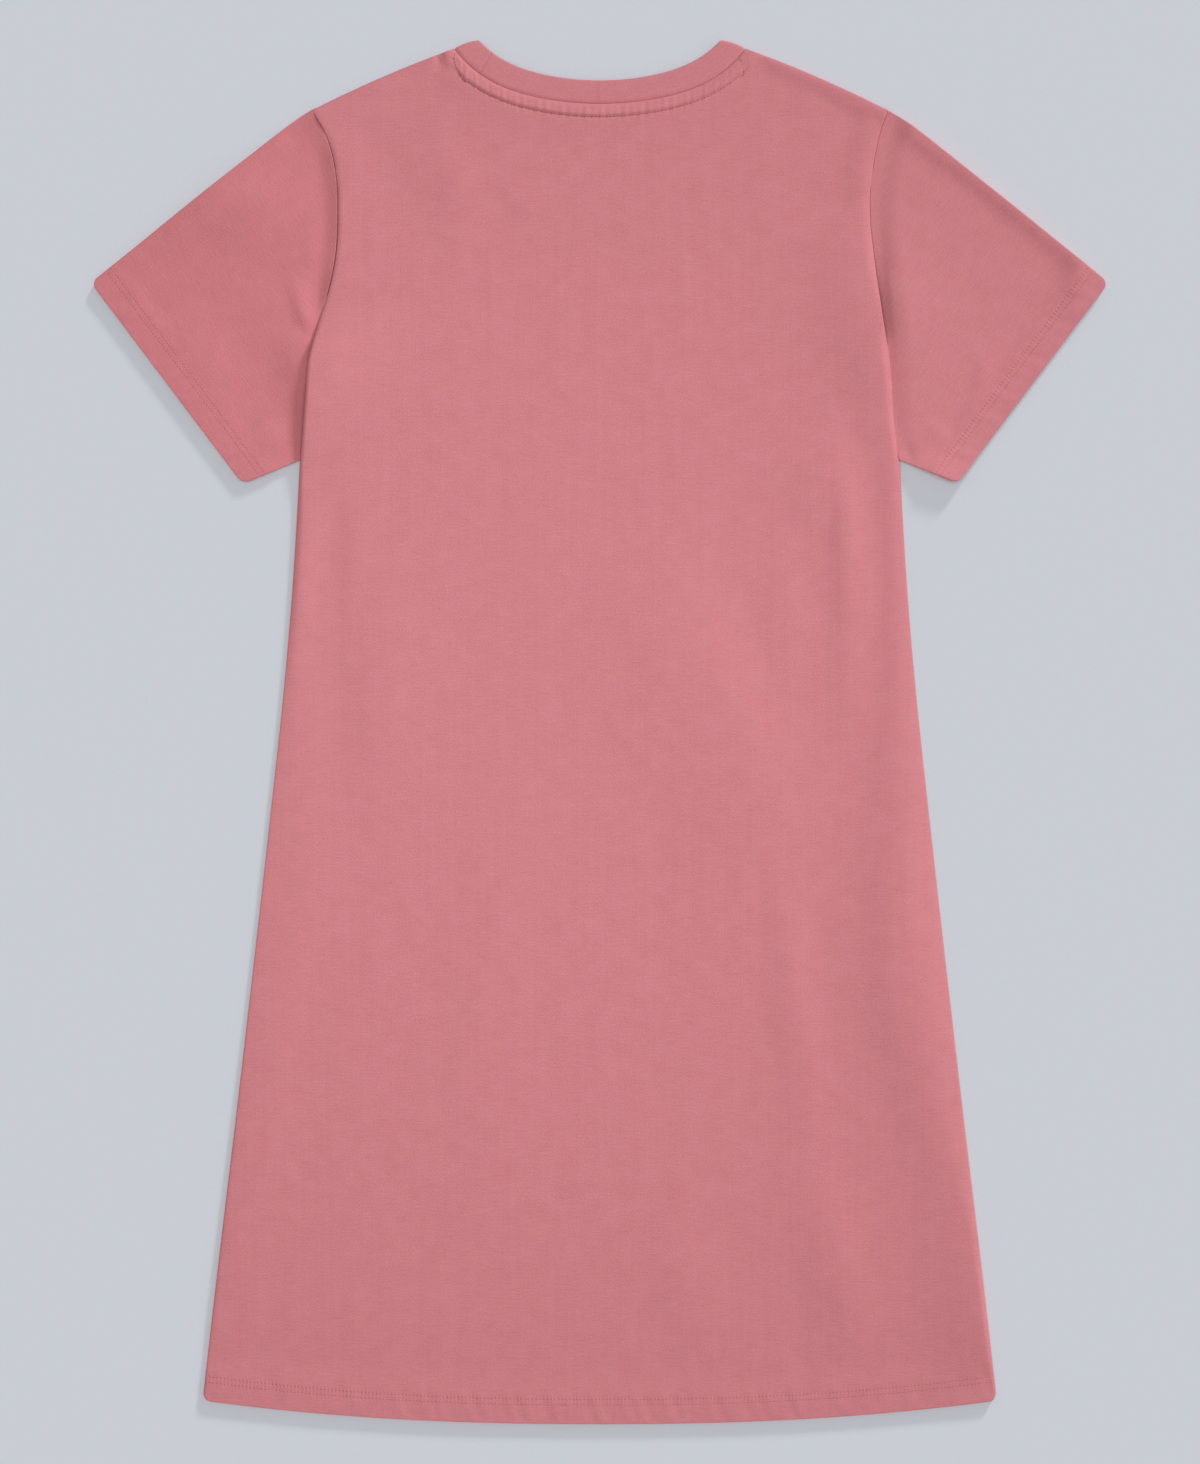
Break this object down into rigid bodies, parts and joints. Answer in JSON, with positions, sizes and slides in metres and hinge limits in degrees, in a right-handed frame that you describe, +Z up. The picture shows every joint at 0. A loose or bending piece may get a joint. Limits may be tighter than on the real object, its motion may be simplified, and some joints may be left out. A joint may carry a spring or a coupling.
{
  "type": "t-shirt dress",
  "caption": "Short-sleeved A-line T-shirt dress in plain cotton jersey with a doubled neck band, laid flat back side up.",
  "frame": {"origin": "on the floor under the middle of the dress's bounding box", "axes": "+Y from hem to neck, +X towards the wearer's right sleeve, +Z up from the front panel to the back panel"},
  "size_m": [0.708, 0.9686, 0.005],
  "materials": {
    "body_jersey": "matt fine cotton jersey, dusty rose",
    "sleeve_jersey": "matt fine cotton jersey, dusty rose",
    "band_jersey": "matt doubled cotton jersey, dusty rose",
    "tape_jersey": "matt narrow jersey tape, dusty rose"
  },
  "bodies": {
    "root": {"back_panel": "body_jersey", "front_panel": "body_jersey", "sleeve_left": "sleeve_jersey", "sleeve_right": "sleeve_jersey", "neck_band": "band_jersey", "neck_tape": "tape_jersey"}
  },
  "joints": []
}
